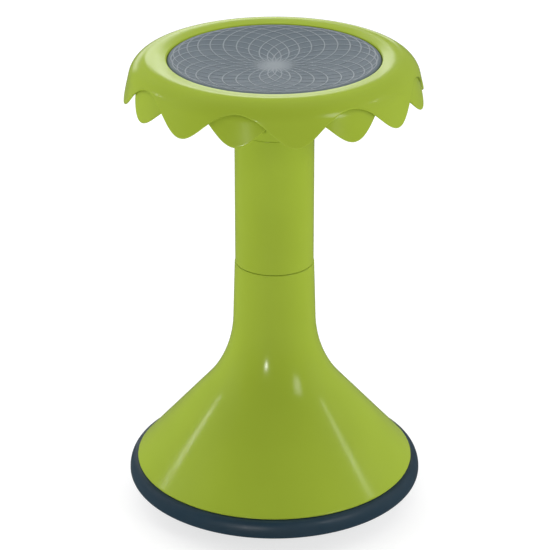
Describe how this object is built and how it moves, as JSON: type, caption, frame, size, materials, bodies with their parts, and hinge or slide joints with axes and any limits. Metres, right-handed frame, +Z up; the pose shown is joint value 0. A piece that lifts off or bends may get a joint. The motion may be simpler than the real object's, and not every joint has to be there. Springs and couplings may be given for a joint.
{
  "type": "wobble stool",
  "caption": "Backless wobble stool: round seat with a scalloped skirt and an inset dished pad, tube column, and a bell base that rocks on a domed rubber sole.",
  "frame": {"origin": "on the stool's axis at the floor, in the middle of the flat at the centre of the sole", "axes": "+Z up along the axis of the column; -Y faces the viewer, and one long lobe of the seat skirt points along -Y"},
  "size_m": [0.324, 0.324, 0.508],
  "materials": {
    "shell": "glossy moulded plastic, olive lime green",
    "pad": "soft matt moulded rubber, blue grey, raised line pattern",
    "tread": "satin rubber, dark blue grey",
    "dish": "matt moulded plastic, near black",
    "fastener": "zinc-plated steel"
  },
  "bodies": {
    "root": {"seat_pad": "pad", "seat_shell": "shell", "column_tube": "shell", "base_bell": "shell", "base_ring": "tread", "rocker_dish": "dish", "grip_sole": "tread", "seat_screw_1": "fastener", "seat_screw_2": "fastener", "seat_screw_3": "fastener", "seat_screw_4": "fastener", "seat_washer_1": "fastener", "seat_washer_2": "fastener", "seat_washer_3": "fastener", "seat_washer_4": "fastener", "column_screw_1": "fastener", "column_screw_2": "fastener", "column_screw_3": "fastener", "column_screw_4": "fastener", "column_washer_1": "fastener", "column_washer_2": "fastener", "column_washer_3": "fastener", "column_washer_4": "fastener", "dish_screw_1": "fastener", "dish_screw_2": "fastener", "dish_screw_3": "fastener", "dish_screw_4": "fastener", "dish_screw_5": "fastener", "dish_screw_6": "fastener"}
  },
  "joints": []
}
